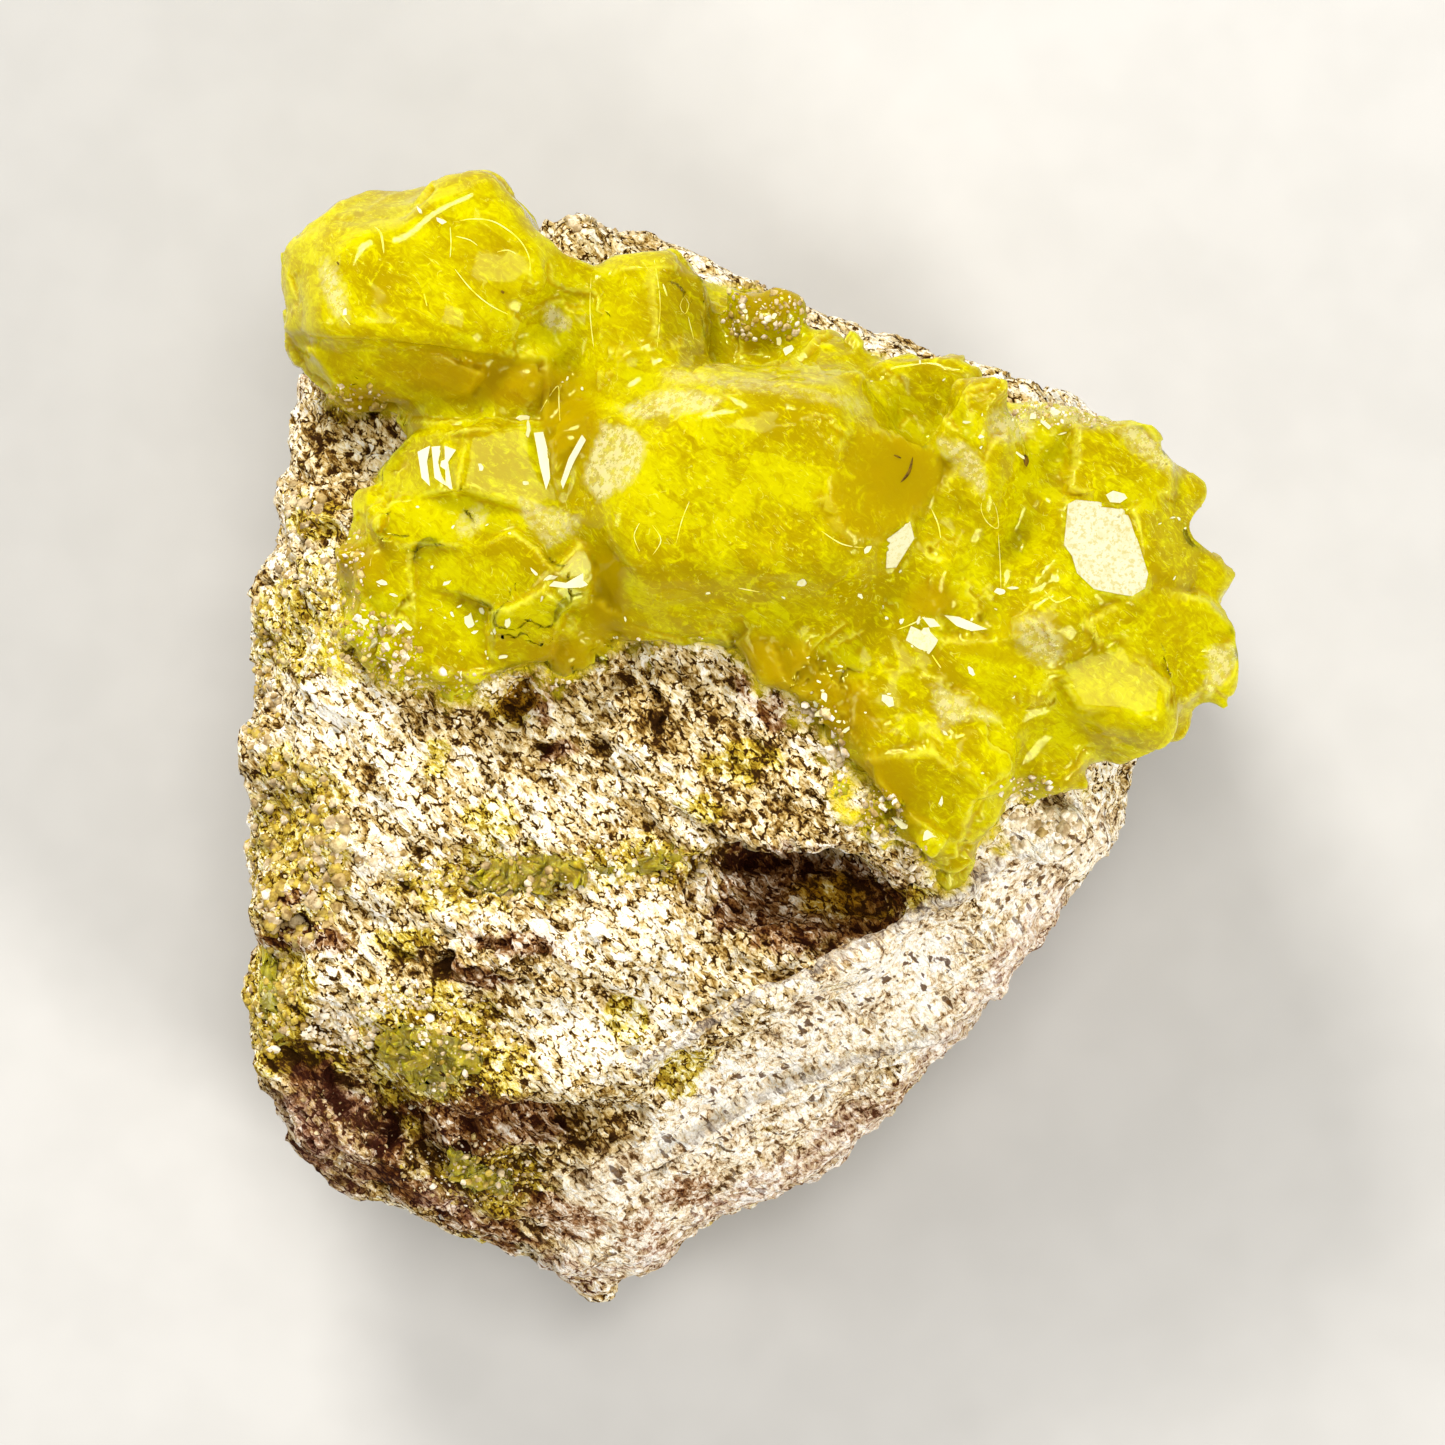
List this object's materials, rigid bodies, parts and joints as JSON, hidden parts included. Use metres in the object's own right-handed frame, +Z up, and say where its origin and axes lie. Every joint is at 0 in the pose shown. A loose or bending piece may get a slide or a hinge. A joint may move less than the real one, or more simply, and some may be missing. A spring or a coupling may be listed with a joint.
{
  "type": "sulfur crystal specimen on matrix",
  "caption": "Cluster of translucent yellow sulfur crystals grown across a broken lump of pale volcanic rock, lying on its flat back.",
  "frame": {"origin": "on the resting plane, under the middle of the specimen's bounding box", "axes": "+Z up, out of the face that the crystals grow on; +Y from the rock's pointed end to its broad end; +X to the right when seen from above"},
  "size_m": [0.0494, 0.0564, 0.0287],
  "materials": {
    "pale_rock": "granular broken surface, matt, cream to tan with brown specks",
    "sulfur": "lemon yellow, translucent, resinous lustre"
  },
  "bodies": {
    "root": {"matrix": "pale_rock", "sulfur_crystals": "sulfur", "sulfur_vein_middle": "sulfur", "sulfur_vein_right": "sulfur", "sulfur_patch_left_edge": "sulfur", "sulfur_patch_lower": "sulfur", "sulfur_patch_foot": "sulfur"}
  },
  "joints": []
}
